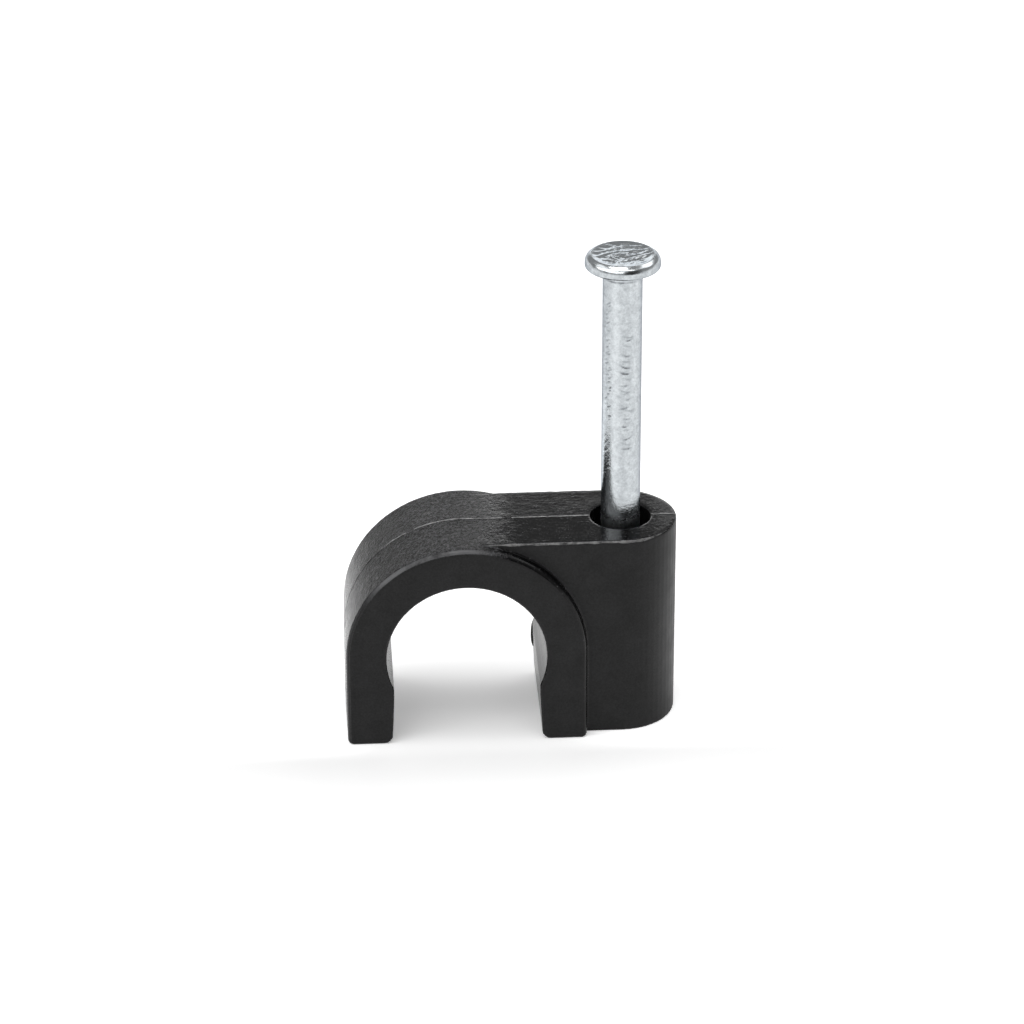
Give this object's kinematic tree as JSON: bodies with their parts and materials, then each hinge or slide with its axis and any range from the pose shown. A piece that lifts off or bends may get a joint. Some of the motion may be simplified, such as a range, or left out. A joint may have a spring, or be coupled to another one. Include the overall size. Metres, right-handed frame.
{
  "type": "nail-in cable clip",
  "caption": "Nail-in clip that holds a round cable to a wall: a black plastic saddle, open toward the wall, with a boss that carries a flat-headed zinc-plated steel nail.",
  "frame": {"origin": "on the wall face, at the middle of the clip's footprint", "axes": "+X from the cable to the nail, +Y along the cable, +Z away from the wall, along the nail toward its head"},
  "size_m": [0.0166, 0.0068, 0.025],
  "materials": {
    "black_plastic": "black polypropylene, satin on the faces, with a fine spark-eroded grain on the top and the flanks",
    "zinc_plated_steel": "bright zinc plate over drawn wire, with die marks along the shank and a stamped head"
  },
  "bodies": {
    "root": {"clip_body": "black_plastic", "nail": "zinc_plated_steel"}
  },
  "joints": []
}
